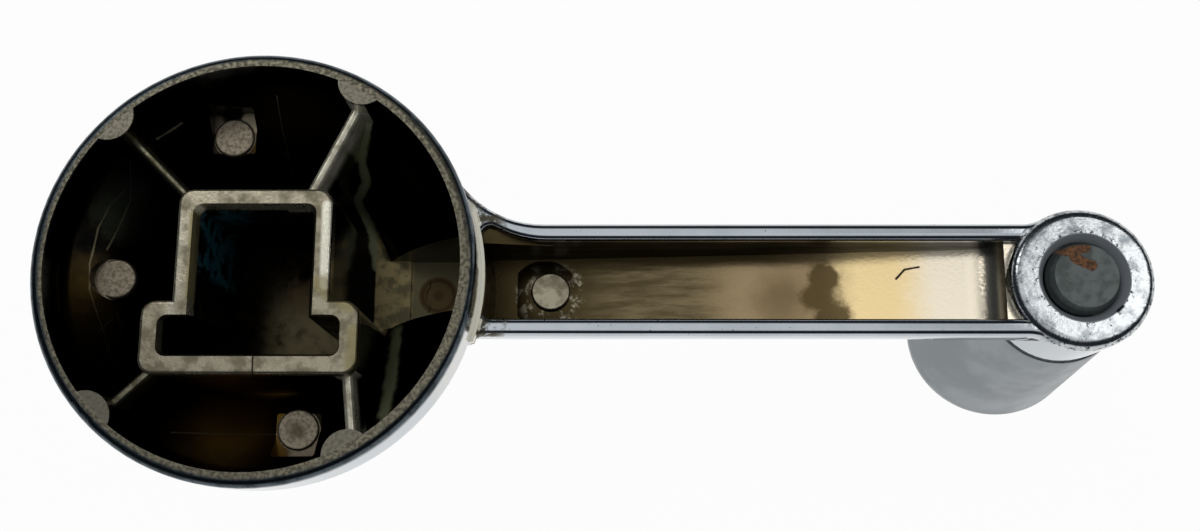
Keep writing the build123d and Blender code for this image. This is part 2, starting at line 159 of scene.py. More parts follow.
class Band(NamedTuple):
    """Mask between two values, with soft ends outside them."""

    low: float
    high: float
    soft: float = 0.15


class Patch(NamedTuple):
    """A round mark in plan: its centre in millimetres, and its edge as a distance from it."""

    centre: tuple[float, float]
    edge: Edge


class Stroke(NamedTuple):
    """A straight mark in plan, in millimetres: its ends, width, soft edge, wandering edge and strength."""

    start: tuple[float, float]
    end: tuple[float, float]
    width: float
    soft: float = 0.15
    wander: float = 0.0
    strength: float = 1.0


class Blotches(NamedTuple):
    """Scattered blotches, where a pattern lies above a level, with an edge this soft."""

    pattern: Pattern
    level: float
    soft: float = 0.04


class Ground:
    """A piece's surface as its material sees it: places in millimetres, and masks drawn on them.

    Attributes:
        detail: how many finer layers each pattern has.
        coarseness: how strong each finer layer is.
        material: the material.
        tree: its nodes.
        point: place on the piece.
        x: along the arm.
        y: across the arm.
        z: up, out of the open back.
        up: how far the surface faces up, from -1 to 1.
        flat: place in plan.
        patterns: the shared patterns that are in use.
    """

    detail = 5.0
    coarseness = 0.62

    def __init__(self, name: str, centre: Vector) -> None:
        """Start a material.

        Args:
            name: name of the material.
            centre: the place that counts as zero, in metres.
        """
        self.material = bpy.data.materials.new(name)
        self.material.use_nodes = True
        self.tree = self.material.node_tree
        self.tree.nodes.clear()
        own = add_node(self.tree, "ShaderNodeTexCoord")
        inputs = {0: own.outputs["Object"], 1: tuple(centre)}
        moved = add_node(self.tree, "ShaderNodeVectorMath", inputs, operation="SUBTRACT")
        inputs = {0: moved.outputs[0], "Scale": 1 / MM}
        scaled = add_node(self.tree, "ShaderNodeVectorMath", inputs, operation="SCALE")
        self.point = scaled.outputs[0]
        self.x, self.y, self.z = add_node(self.tree, "ShaderNodeSeparateXYZ", {0: self.point}).outputs
        self.up = add_node(self.tree, "ShaderNodeSeparateXYZ", {0: own.outputs["Normal"]}).outputs[2]
        self.flat = add_node(self.tree, "ShaderNodeCombineXYZ", {0: self.x, 1: self.y}).outputs[0]
        self.patterns: dict[Pattern, bpy.types.NodeSocket] = {}

    def pattern(self, kind: Pattern) -> bpy.types.NodeSocket:
        """Give one of the shared patterns, and make it where it isn't in use yet.

        Args:
            kind: which pattern.

        Returns:
            A value round one half.
        """
        if kind not in self.patterns:
            size, stretch = kind.value
            inputs = {0: self.point, 1: stretch}
            drawn = add_node(self.tree, "ShaderNodeVectorMath", inputs, operation="MULTIPLY")
            inputs = {"Vector": drawn.outputs[0], "Scale": 1 / size}
            inputs |= {"Detail": self.detail, "Roughness": self.coarseness}
            self.patterns[kind] = add_node(self.tree, "ShaderNodeTexNoise", inputs).outputs["Fac"]
        return self.patterns[kind]

    def fade(self, value: bpy.types.NodeSocket, edge: Edge) -> bpy.types.NodeSocket:
        """Make a mask that rises smoothly across an edge.

        Args:
            value: what it follows.
            edge: where it is clear and where it is full.

        Returns:
            The mask.
        """
        if edge.ragged:
            value = self.ragged(value, edge.pattern, edge.ragged)
        rising = edge.full > edge.clear
        inputs = {
            "Value": value,
            "From Min": min(edge.clear, edge.full),
            "From Max": max(edge.clear, edge.full),
            "To Min": 0.0 if rising else edge.strength,
            "To Max": edge.strength if rising else 0.0,
        }
        return add_node(self.tree, "ShaderNodeMapRange", inputs, interpolation_type="SMOOTHSTEP").outputs[0]

    def band(self, value: bpy.types.NodeSocket, band: Band) -> bpy.types.NodeSocket:
        """Mask between two values."""
        rise = self.fade(value, Edge(band.low - band.soft, band.low))
        return self.overlap(rise, self.fade(value, Edge(band.high + band.soft, band.high)))

    def patch(self, mark: Patch) -> bpy.types.NodeSocket:
        """Mask of a round mark."""
        return self.fade(self.distance(*mark.centre), mark.edge)

    def patches(self, marks: Sequence[Patch]) -> bpy.types.NodeSocket:
        """Mask of several round marks."""
        return self.union(*(self.patch(mark) for mark in marks))

    def blotches(self, marks: Blotches) -> bpy.types.NodeSocket:
        """Mask of scattered blotches."""
        edge = Edge(marks.level - marks.soft, marks.level + marks.soft)
        return self.fade(self.pattern(marks.pattern), edge)

    def overlap(self, *masks: bpy.types.NodeSocket) -> bpy.types.NodeSocket:
        """Find where all of the masks hold.

        Args:
            *masks: the masks.

        Returns:
            Their product.
        """
        shared = masks[0]
        for mask in masks[1:]:
            inputs = {0: shared, 1: mask}
            shared = add_node(self.tree, "ShaderNodeMath", inputs, operation="MULTIPLY").outputs[0]
        return shared

    def union(self, *masks: bpy.types.NodeSocket) -> bpy.types.NodeSocket:
        """Find where any of the masks holds.

        Args:
            *masks: the masks.

        Returns:
            The largest of them.
        """
        largest = masks[0]
        for mask in masks[1:]:
            inputs = {0: largest, 1: mask}
            largest = add_node(self.tree, "ShaderNodeMath", inputs, operation="MAXIMUM").outputs[0]
        return largest

    def distance(self, x: float, y: float) -> bpy.types.NodeSocket:
        """Distance from an upright axis."""
        inputs = {0: self.flat, 1: (x, y, 0.0)}
        return add_node(self.tree, "ShaderNodeVectorMath", inputs, operation="DISTANCE").outputs["Value"]

    def ragged(self, value: bpy.types.NodeSocket, kind: Pattern, reach: float) -> bpy.types.NodeSocket:
        """Add a pattern to a value, so that an edge across it comes out ragged.

        Args:
            value: what an edge will follow.
            kind: the pattern.
            reach: how far it moves the edge to and fro.

        Returns:
            The value with the pattern in it.
        """
        inputs = {0: self.pattern(kind), 1: 2 * reach, 2: value}
        waved = add_node(self.tree, "ShaderNodeMath", inputs, operation="MULTIPLY_ADD").outputs[0]
        inputs = {0: waved, 1: reach}
        return add_node(self.tree, "ShaderNodeMath", inputs, operation="SUBTRACT").outputs[0]

    def stroke(self, line: Stroke) -> bpy.types.NodeSocket:
        """Make a mask along a straight line of the plan.

        Args:
            line: the line.

        Returns:
            The mask.
        """
        start, end = Vector((*line.start, 0.0)), Vector((*line.end, 0.0))
        unit = (end - start).normalized()
        inputs = {0: self.flat, 1: tuple(start)}
        away = add_node(self.tree, "ShaderNodeVectorMath", inputs, operation="SUBTRACT").outputs[0]
        inputs = {0: away, 1: tuple(unit)}
        along = add_node(self.tree, "ShaderNodeVectorMath", inputs, operation="DOT_PRODUCT").outputs["Value"]
        inputs = {"Value": along, "Min": 0.0, "Max": (end - start).length}
        held = add_node(self.tree, "ShaderNodeClamp", inputs).outputs[0]
        inputs = {0: tuple(unit), "Scale": held}
        nearest = add_node(self.tree, "ShaderNodeVectorMath", inputs, operation="SCALE").outputs[0]
        inputs = {0: away, 1: nearest}
        gap = add_node(self.tree, "ShaderNodeVectorMath", inputs, operation="DISTANCE").outputs["Value"]
        half = line.width / 2
        return self.fade(gap, Edge(half + line.soft, half, line.wander, strength=line.strength))

    def strokes(self, lines: Sequence[Stroke]) -> bpy.types.NodeSocket:
        """Mask along several lines."""
        return self.union(*(self.stroke(line) for line in lines))

    def close(self, surface: "Surface", piece: bpy.types.Object) -> None:
        """End the material with its shader, and give it to a piece.

        Args:
            surface: the finished surface.
            piece: the model's own piece.
        """
        inputs = {"Strength": 1.0, "Distance": MM, "Height": surface.height}
        relief = add_node(self.tree, "ShaderNodeBump", inputs)
        inputs = {
            "Base Color": surface.colour,
            "Roughness": surface.roughness,
            "Metallic": surface.metal,
            "Normal": relief.outputs[0],
        }
        shader = add_node(self.tree, "ShaderNodeBsdfPrincipled", inputs)
        add_node(self.tree, "ShaderNodeOutputMaterial", {"Surface": shader.outputs[0]})
        for slot in piece.material_slots:
            slot.material = self.material


# --- Finishes ---------------------------------------------------------------------------------------------


class Surface(NamedTuple):
    """What a finish gives at a point: colour, roughness, share of bare metal, and height in millimetres."""

    colour: bpy.types.NodeSocket | tuple[float, float, float, float]
    roughness: bpy.types.NodeSocket | float
    metal: bpy.types.NodeSocket | float
    height: bpy.types.NodeSocket

    def under(self, top: "Surface", mask: bpy.types.NodeSocket, tree: bpy.types.NodeTree) -> "Surface":
        """Lay another surface over this one where a mask holds.

        Args:
            top: the other surface.
            mask: where it shows.
            tree: the material's nodes.

        Returns:
            Both together.
        """
        inputs = {"Factor": mask, COLOUR_A: self.colour, COLOUR_B: top.colour}
        colour = add_node(tree, "ShaderNodeMix", inputs, data_type="RGBA").outputs[COLOUR_RESULT]
        mixed = []
        for low, high in zip(self[1:], top[1:]):
            if low == high:
                mixed.append(low)
                continue
            inputs = {"Factor": mask, VALUE_A: low, VALUE_B: high}
            mix = add_node(tree, "ShaderNodeMix", inputs, data_type="FLOAT")
            mixed.append(mix.outputs[VALUE_RESULT])
        return Surface(colour, *mixed)


@dataclass(frozen=True)
class Finish:
    """One metal surface: two tones in a pattern, a roughness that follows them, and a fine grain.

    Attributes:
        light: colour of the cleaner patches.
        dark: colour of the duller patches.
        pattern: which pattern the tones follow.
        balance: value of the pattern at which the two tones meet.
        smooth: roughness of the cleaner patches.
        dull: roughness of the duller patches.
        relief: depth of the grain, mm.
        metal: share of bare metal.
        blend: how softly the two tones meet.
    """

    light: str
    dark: str
    pattern: Pattern
    balance: float
    smooth: float
    dull: float
    relief: float
    metal: float = 1.0
    blend: float = 0.12

    def lay(self, ground: Ground) -> Surface:
        """Build the finish's nodes.

        Args:
            ground: the material they go in.

        Returns:
            The finish's surface.
        """
        tree = ground.tree
        tone = ground.blotches(Blotches(self.pattern, self.balance, self.blend))
        inputs = {"Factor": tone, COLOUR_A: linear(self.light), COLOUR_B: linear(self.dark)}
        colour = add_node(tree, "ShaderNodeMix", inputs, data_type="RGBA").outputs[COLOUR_RESULT]
        inputs = {"Factor": tone, VALUE_A: self.smooth, VALUE_B: self.dull}
        roughness = add_node(tree, "ShaderNodeMix", inputs, data_type="FLOAT").outputs[VALUE_RESULT]
        inputs = {0: ground.pattern(Pattern.FINE), 1: self.relief}
        height = add_node(tree, "ShaderNodeMath", inputs, operation="MULTIPLY").outputs[0]
        return Surface(colour, roughness, self.metal, height)

    def over(self, ground: Ground, mask: bpy.types.NodeSocket, below: Surface) -> Surface:
        """Lay the finish over a surface where a mask holds."""
        return below.under(self.lay(ground), mask, ground.tree)


@dataclass(frozen=True)
class Stain:
    """A thin layer on a finish: dirt, oxide or a rubbed spot. It keeps the grain below.

    Attributes:
        colour: its colour.
        roughness: its roughness.
        metal: share of bare metal.
    """

    colour: str
    roughness: float
    metal: float = 1.0

    def over(self, ground: Ground, mask: bpy.types.NodeSocket, below: Surface) -> Surface:
        """Lay the stain over a surface where a mask holds."""
        stain = Surface(linear(self.colour), self.roughness, self.metal, below.height)
        return below.under(stain, mask, ground.tree)


# --- Crank casting ----------------------------------------------------------------------------------------

# Bright nickel-chrome plating on a polished casting: a mirror, a little blue.
POLISHED_CHROME = Finish("#b9bec2", "#b0b6ba", Pattern.BROAD, 0.56, 0.07, 0.10, 0.004)
# The same plating on the rim's outer edge, dulled, and darkened to blue-grey as a painted dark reflection.
DULLED_CHROME_AND_DARK_REFLECTION = Finish("#4d565c", "#30383d", Pattern.MIDDLE, 0.52, 0.22, 0.34, 0.012)
# Chrome rubbed through to the zinc on the rim: pewter grey, matt, with a fine tooth.
RUBBED_ZINC = Finish("#87826f", "#5f5b50", Pattern.FINE, 0.50, 0.38, 0.52, 0.030)
# Flat ends of the lobes: the same metal, cleaner and smoother.
MACHINED_ZINC = Finish("#7b7669", "#6b675b", Pattern.FINE, 0.54, 0.36, 0.46, 0.012)
# Top of the socket's wall: zinc worn to a satin grey-beige.
SOCKET_ZINC = Finish("#a09884", "#79725f", Pattern.MIDDLE, 0.52, 0.26, 0.40, 0.030)
# Plating inside the dish, thin and tarnished, painted nearly black as a dark reflection.
DISH_TARNISH_AND_DARK_REFLECTION = Finish("#15110a", "#050505", Pattern.BROAD, 0.50, 0.12, 0.22, 0.006)
# Ribs' tops: satin cast metal that the plating only flashed, made pale by a painted highlight.
RIB_ZINC_AND_HIGHLIGHT = Finish("#c2beab", "#99947f", Pattern.MIDDLE, 0.54, 0.24, 0.36, 0.015, 0.6)
# The far ribs: the same metal with a dimmer painted highlight.
RIB_ZINC_AND_DIM_HIGHLIGHT = Finish("#7c7866", "#55513f", Pattern.MIDDLE, 0.50, 0.30, 0.42, 0.020)
# Bare ends of the ejector posts: grey-beige, finely rough.
BARE_POST = Finish("#8c8271", "#766d5d", Pattern.FINE, 0.54, 0.42, 0.55, 0.025)
# Socket's inside: black residue, with painted shade in the deep hollow.
SOCKET_RESIDUE_AND_SHADE = Finish("#141009", "#050403", Pattern.MIDDLE, 0.50, 0.30, 0.50, 0.030)
# Nickel flash on the arm's floor, drawn out along the arm: pale champagne under brown grime.
ARM_FLOOR_NICKEL = Finish("#7a6c50", "#5c5038", Pattern.DRAWN, 0.52, 0.26, 0.38, 0.020)
# Side walls of the arm's channel: dark olive brown, their darkness painted shade.
CHANNEL_WALL_AND_SHADE = Finish("#1f190e", "#120e07", Pattern.DRAWN, 0.52, 0.28, 0.42, 0.020)
# Eye's lip: bright chrome, pitted and scratched.
PITTED_CHROME = Finish("#c2c5c6", "#8b9195", Pattern.MIDDLE, 0.56, 0.14, 0.24, 0.022)

# Thin layers on those metals.
RUBBED_SHINE_AND_HIGHLIGHT = Stain("#d9d5c4", 0.22)  # an edge rubbed bright; on the socket's wall also a painted highlight
BRASSY = Stain("#867c55", 0.34)  # yellowish film left in corners
BROWN_TARNISH = Stain("#35280f", 0.30)  # deep brown, still glossy
WARM_TARNISH = Stain("#6e5322", 0.50)  # the thinnest tarnish, brown and half matt
OLIVE_TARNISH = Stain("#3c4034", 0.26)  # green-grey, still glossy
SCRATCH = Stain("#8a8066", 0.40)  # fine scratches down to bare metal
GREEN_SMEAR = Stain("#686c50", 0.55, 0.4)  # grey-green smear, hardly glossy
TRENCH_SMEAR = Stain("#7b6e49", 0.45, 0.7)  # mustard film on the trench's floor
TRENCH_DULL = Stain("#4f4a32", 0.45, 0.7)  # the same film, thinner and darker
BROWN_RING = Stain("#34260f", 0.50, 0.8)  # dark brown oxide in a mark's rings
BROWN_DISC = Stain("#43351c", 0.50, 0.8)  # brown oxide over the whole mark
TEAL_STAIN = Stain("#12424c", 0.45, 0.4)  # dark teal corrosion
SOCKET_DUST = Stain("#4d4630", 0.45, 0.8)  # grey-brown dust
SOCKET_RUST = Stain("#47361f", 0.50, 0.8)  # rust-brown dust
CAST_SKIN = Stain("#5d594d", 0.48)  # unpolished casting skin, grey and matt
DARK_SEAM = Stain("#2b271f", 0.50)  # dirt in a fine crack
FLOOR_GRIME_AND_SHADE = Stain("#473d27", 0.34)  # brown grime; along the channel's upper wall also painted shade
FLOOR_TAN = Stain("#a08b69", 0.28)  # thinner grime, tan
FLOOR_CREAM_AND_REFLECTION = Stain("#ffe3a9", 0.24)  # clean flash, cream, and a painted reflection
FLOOR_PALE_AND_REFLECTION = Stain("#fff2da", 0.20)  # the cleanest flash, nearly white, and a painted reflection
FLOOR_BLOT = Stain("#5e4e30", 0.42)  # brown blot on the cream
POST_GREY = Stain("#a09884", 0.34)  # lumps of bare zinc round a post
PIT = Stain("#3c4248", 0.50)  # fine dark pits
PAD_BARE = Stain("#8c8370", 0.45)  # bare zinc, beige
PAD_DARK = Stain("#6f6455", 0.45)  # bare zinc, browner
CHAMFER_PAINTED_REFLECTION = Stain("#8e9398", 0.50, 0.3)  # painted reflection on the chrome chamfer: light grey, hardly metallic
DARK_CHIP = Stain("#23272a", 0.55)  # a chip through the plating


@dataclass(frozen=True)
class CastingSizes:
    """Sizes of the casting that its regions share, in millimetres, with heights from the rim's plane."""

    mouth: float = 24.55
    rim: float = 26.3
    rim_flat: float = 25.5
    rail: float = -7.0
    channel: float = 4.95
    throw: float = 100.0
    eye: float = 8.9
    counterbore: float = 4.75
    chamfer: float = 5.55
    post: float = 2.55
    post_circle: float = 19.3
    post_end: float = -7.3
    arm_post: tuple[float, float] = (34.4, 0.0)
    arm_post_end: float = -13.4
    inner_front: Edge = Edge(-17.2, -16.6)  # below every floor in the hub, and above its front
    arm_side: Edge = Edge(20.0, 23.0)  # where the arm begins, along it

    def post_at(self, angle: float) -> tuple[float, float]:
        """Place of a post on its circle, by its angle from the arm in degrees."""
        return self.post_circle * cos(radians(angle)), self.post_circle * sin(radians(angle))


SIZES = CastingSizes()


class Region:
    """A region of the casting, with its own marks."""

    def dress(self, ground: Ground, below: Surface) -> Surface:
        """Lay the region over the surface so far."""
        raise NotImplementedError


@dataclass(frozen=True)
class Rim(Region):
    """The rim: its dulled outer round with a painted dark reflection, the rubbed flat and the machined lobes.
    Sizes in millimetres.
    """

    outer_round: Band = Band(SIZES.rim_flat - 0.9, SIZES.rim + 0.1)
    outer_height: Edge = Edge(-2.2, -1.2)
    wear_centre: tuple[float, float] = (0.35, 0.0)
    wear_edge: Edge = Edge(SIZES.rim_flat, SIZES.rim_flat - 0.35, 0.25)
    flat_height: Edge = Edge(-0.4, -0.15)
    lobes: Edge = Edge(SIZES.mouth + 0.1, SIZES.mouth - 0.1)

    def dress(self, ground: Ground, below: Surface) -> Surface:
        """Dress the rim.

        Args:
            ground: the casting's material.
            below: the surface so far.

        Returns:
            The surface with the rim on it.
        """
        hub = ground.distance(0.0, 0.0)
        outer = ground.overlap(ground.band(hub, self.outer_round), ground.fade(ground.z, self.outer_height))
        # The outer round's dark blue-grey: dulled plating and a painted dark reflection.
        surface = DULLED_CHROME_AND_DARK_REFLECTION.over(ground, outer, below)
        rubbed = ground.fade(ground.distance(*self.wear_centre), self.wear_edge)
        flat = ground.overlap(ground.fade(ground.z, self.flat_height), rubbed)
        surface = RUBBED_ZINC.over(ground, flat, surface)
        return MACHINED_ZINC.over(ground, ground.overlap(flat, ground.fade(hub, self.lobes)), surface)


@dataclass(frozen=True)
class Dish(Region):
    """The hollow of the hub: tarnished, painted nearly black as a dark reflection, with smears and scratches.
    Sizes in millimetres.
    """

    under_rim: Edge = Edge(-0.15, -0.6)
    facing_in: Edge = Edge(-0.15, -0.04)  # of the surface's upward part
    wall: Edge = Edge(SIZES.mouth + 0.3, SIZES.mouth + 0.05)
    brown: tuple[Patch, ...] = (
        Patch((-21.5, -4.5), Edge(9.0, 1.0, 3.0, Pattern.BROAD, 0.5)),
        Patch((2.0, 18.5), Edge(9.0, 2.0, 3.0, Pattern.BROAD, 0.9)),
    )
    warm: Patch = Patch((-4.0, -17.5), Edge(10.0, 2.0, 3.0, Pattern.BROAD))
    olive: Patch = Patch((-17.5, 8.5), Edge(5.5, 2.0, 2.0, Pattern.BROAD, 0.7))
    below_ribs: Edge = Edge(-3.6, -4.6)
    smear: tuple[Stroke, ...] = (
        Stroke((11.9, 20.6), (10.4, 16.2), 0.8, 0.8, 0.6),
        Stroke((10.4, 16.2), (10.6, 13.7), 0.7, 0.7, 0.5),
        Stroke((10.6, 13.7), (8.8, 12.2), 0.6, 0.6, 0.5),
        Stroke((8.8, 12.2), (10.9, 8.1), 0.6, 0.6, 0.5),
        Stroke((10.9, 8.1), (11.6, 4.0), 0.7, 0.8, 0.5),
        Stroke((14.8, -5.6), (15.3, -13.9), 1.0, 0.9, 0.6),
        Stroke((15.3, -13.9), (15.1, -17.2), 0.8, 0.9, 0.5),
    )
    trench_height: Edge = Edge(-15.2, -15.4)
    trench_length: Band = Band(11.4, 24.0, 0.3)
    facing_up: Edge = Edge(0.6, 0.9)
    film_end: Edge = Edge(16.4, 15.8, 0.5)
    film: Blotches = Blotches(Pattern.MIDDLE, 0.45, 0.1)
    mark: tuple[float, float] = (19.5, 0.0)
    mark_edge: Edge = Edge(2.65, 2.45)
    mark_ring: Band = Band(1.9, 2.2)
    mark_dot: Edge = Edge(0.9, 0.4)
    # Scratches are drawn wider than they are, with soft edges, so that they show.
    scratches: tuple[Stroke, ...] = (
        Stroke((-17.7, 14.4), (-18.1, 10.1), 0.03, 0.10, 0.1, 0.15),
        Stroke((-18.1, 10.1), (-20.5, 3.6), 0.03, 0.10, 0.1, 0.20),
        Stroke((-18.4, 11.3), (-20.2, 8.8), 0.03, 0.10, 0.1, 0.12),
        Stroke((-20.2, 8.8), (-21.3, 6.0), 0.03, 0.10, 0.1, 0.17),
        Stroke((-21.3, 6.0), (-22.0, 1.5), 0.03, 0.10, 0.1, 0.20),
        Stroke((-22.0, 1.5), (-21.8, -1.8), 0.03, 0.10, 0.1, 0.20),
        Stroke((-21.8, -1.8), (-20.8, -4.7), 0.03, 0.10, 0.1, 0.17),
        Stroke((-20.8, -4.7), (-18.9, -9.6), 0.03, 0.10, 0.1, 0.13),
        Stroke((-20.4, -7.0), (-19.1, -4.3), 0.03, 0.08, 0.1, 0.13),
        Stroke((-19.1, -4.3), (-17.6, -8.6), 0.03, 0.08, 0.1, 0.15),
        Stroke((-10.4, -19.3), (2.0, -19.3), 0.05, 0.12, 0.1, 0.80),
        Stroke((-8.9, -14.1), (-4.8, -13.5), 0.05, 0.16, 0.1, 0.40),
        Stroke((0.2, 23.1), (0.4, 14.7), 0.04, 0.10, 0.1, 0.60),
        Stroke((-2.4, 17.6), (3.9, 17.3), 0.04, 0.10, 0.1, 0.23),
        Stroke((-14.6, 17.5), (-11.6, 19.6), 0.05, 0.16, 0.2, 0.60),
    )
    rib_height: Edge = Edge(-6.4, -4.2)
    arm_side_ribs: tuple[Stroke, ...] = (
        Stroke((5.0, 7.4), (12.3, 22.6), 2.8),
        Stroke((11.0, -11.4), (12.3, -22.6), 2.4),
    )
    far_ribs: tuple[Stroke, ...] = (
        Stroke((-7.4, 7.4), (-18.2, 18.2), 1.5),
        Stroke((-11.0, -11.4), (-18.2, -18.2), 1.5),
    )

    def dress(self, ground: Ground, below: Surface) -> Surface:
        """Dress the dish: tarnish and a painted dark reflection, then trench, scratches and ribs.

        Args:
            ground: the casting's material.
            below: the surface so far.

        Returns:
            The surface with the dish on it.
        """
        inside = ground.overlap(
            ground.fade(ground.distance(0.0, 0.0), self.wall),
            ground.fade(ground.z, self.under_rim),
            ground.fade(ground.z, SIZES.inner_front),
            ground.fade(ground.up, self.facing_in),
        )
        # Near-black inside the dish: partly tarnish, partly a painted dark reflection.
        surface = DISH_TARNISH_AND_DARK_REFLECTION.over(ground, inside, below)
        for stain, mark in (
            (BROWN_TARNISH, ground.patches(self.brown)),
            (WARM_TARNISH, ground.patch(self.warm)),
            (OLIVE_TARNISH, ground.patch(self.olive)),
        ):
            surface = stain.over(ground, ground.overlap(mark, inside), surface)
        low = ground.overlap(inside, ground.fade(ground.z, self.below_ribs))
        surface = GREEN_SMEAR.over(ground, ground.overlap(ground.strokes(self.smear), low), surface)
        surface = self.trench(ground, inside, surface)
        surface = SCRATCH.over(ground, ground.overlap(ground.strokes(self.scratches), inside), surface)
        # Ribs' tops: pale metal carrying a painted highlight, dimmer on the far ribs.
        high = ground.overlap(ground.fade(ground.z, self.rib_height), inside)
        surface = RIB_ZINC_AND_HIGHLIGHT.over(ground, ground.overlap(ground.strokes(self.arm_side_ribs), high), surface)
        return RIB_ZINC_AND_DIM_HIGHLIGHT.over(ground, ground.overlap(ground.strokes(self.far_ribs), high), surface)

    def trench(self, ground: Ground, inside: bpy.types.NodeSocket, below: Surface) -> Surface:
        """Dress the floor between socket and arm: a dull film, and the ejector's round mark.

        Args:
            ground: the casting's material.
            inside: mask of the whole dish.
            below: the surface so far.

        Returns:
            The surface with the trench on it.
        """
        trench = ground.overlap(
            ground.fade(ground.z, self.trench_height),
            ground.band(ground.x, self.trench_length),
            inside,
            ground.fade(ground.up, self.facing_up),
        )
        surface = TRENCH_DULL.over(ground, trench, below)
        film = ground.overlap(trench, ground.fade(ground.x, self.film_end), ground.blotches(self.film))
        surface = TRENCH_SMEAR.over(ground, film, surface)
        away = ground.distance(*self.mark)
        surface = BROWN_DISC.over(ground, ground.overlap(trench, ground.fade(away, self.mark_edge)), surface)
        rings = ground.union(ground.band(away, self.mark_ring), ground.fade(away, self.mark_dot))
        return BROWN_RING.over(ground, ground.overlap(trench, rings), surface)


@dataclass(frozen=True)
class Socket(Region):
    """The socket: worn top of its wall with a painted highlight, black residue and painted shade inside, with
    stains. Sizes in millimetres.
    """

    square_x: Band = Band(-7.0, 7.0)
    square_y: Band = Band(-6.3, 7.0)
    slot_x: Band = Band(-10.5, 10.5)
    slot_y: Band = Band(-10.9, -6.1)
    below_top: Edge = Edge(-1.0, -1.9)
    floor_height: Edge = Edge(-12.0, -15.0)
    teal_wall: Edge = Edge(-4.4, -5.6)
    teal_width: Band = Band(0.0, 6.0, 1.5)
    teal_height: Edge = Edge(-15.5, -11.0, 3.0)
    corner_wall: Edge = Edge(5.6, 6.4)
    corner_end: Edge = Edge(1.0, -3.5, 2.5, strength=0.9)
    corner_height: Edge = Edge(-8.0, -4.5, 2.5)
    teal_blotches: Blotches = Blotches(Pattern.MIDDLE, 0.48, 0.06)
    dust_x: Edge = Edge(-4.5, 0.0, 1.6)
    dust_y: Edge = Edge(3.5, -4.5, 2.0)
    dust_blotches: Blotches = Blotches(Pattern.MIDDLE, 0.40, 0.20)
    rust: Patch = Patch((2.0, 0.5), Edge(3.5, 1.0, 2.0))
    top_height: Edge = Edge(-2.4, -1.2)
    top_reach: Edge = Edge(19.6, 19.3)
    off_hollow: Edge = Edge(0.6, 0.2)  # of the hollow's own mask
    # Rubbed wear and a painted highlight: strong on the wall's right side, faint on its left.
    bright: tuple[Stroke, ...] = (
        Stroke((8.7, 7.0), (8.8, -2.5), 0.9, 0.5),
        Stroke((-8.9, 6.0), (-8.9, -6.0), 0.6, 0.8, 0.4, 0.25),
    )
    brassy: tuple[Stroke, ...] = (
        Stroke((-7.2, 6.0), (-7.2, -4.0), 0.3, 0.4, 0.4, 0.8),
        Stroke((8.3, -2.4), (11.6, -4.9), 1.0, 1.2, 0.8, 0.7),
        Stroke((12.3, -8.0), (12.2, -12.0), 0.6, 0.9, 0.7, 0.7),
    )
    seam: Stroke = Stroke((0.75, -10.6), (0.8, -13.2), 0.08, 0.12)

    def dress(self, ground: Ground, below: Surface) -> Surface:
        """Dress the socket: its hollow, then the top of its wall.

        Args:
            ground: the casting's material.
            below: the surface so far.

        Returns:
            The surface with the socket on it.
        """
        square = ground.overlap(ground.band(ground.x, self.square_x), ground.band(ground.y, self.square_y))
        slot = ground.overlap(ground.band(ground.x, self.slot_x), ground.band(ground.y, self.slot_y))
        hollow = ground.overlap(
            ground.union(square, slot),
            ground.fade(ground.z, self.below_top),
            ground.fade(ground.z, SIZES.inner_front),
        )
        # Nearly black: residue, and painted shade in the socket's deep hollow.
        surface = SOCKET_RESIDUE_AND_SHADE.over(ground, hollow, below)
        surface = self.hollow_stains(ground, hollow, surface)
        top = ground.overlap(
            ground.fade(ground.z, self.top_height),
            ground.fade(ground.distance(0.0, 0.0), self.top_reach),
            ground.fade(hollow, self.off_hollow),
        )
        surface = SOCKET_ZINC.over(ground, top, surface)
        # Painted highlight with rubbed wear along the wall's sides.
        surface = RUBBED_SHINE_AND_HIGHLIGHT.over(ground, ground.overlap(top, ground.strokes(self.bright)), surface)
        surface = BRASSY.over(ground, ground.overlap(top, ground.strokes(self.brassy)), surface)
        return DARK_SEAM.over(ground, ground.overlap(top, ground.stroke(self.seam)), surface)

    def hollow_stains(self, ground: Ground, hollow: bpy.types.NodeSocket, below: Surface) -> Surface:
        """Stain the hollow: teal on its far walls, dust and rust on its floor.

        Args:
            ground: the casting's material.
            hollow: mask of the hollow.
            below: the surface so far.

        Returns:
            The surface with the stains on it.
        """
        wall = ground.overlap(
            ground.fade(ground.x, self.teal_wall),
            ground.band(ground.y, self.teal_width),
            ground.fade(ground.z, self.teal_height),
        )
        corner = ground.overlap(
            ground.fade(ground.y, self.corner_wall),
            ground.fade(ground.x, self.corner_end),
            ground.fade(ground.z, self.corner_height),
        )
        teal = ground.overlap(hollow, ground.union(wall, corner), ground.blotches(self.teal_blotches))
        surface = TEAL_STAIN.over(ground, teal, below)
        dusty = ground.overlap(
            hollow,
            ground.fade(ground.z, self.floor_height),
            ground.fade(ground.x, self.dust_x),
            ground.fade(ground.y, self.dust_y),
        )
        dust = ground.overlap(dusty, ground.blotches(self.dust_blotches))
        surface = SOCKET_DUST.over(ground, dust, surface)
        return SOCKET_RUST.over(ground, ground.overlap(dusty, ground.patch(self.rust)), surface)


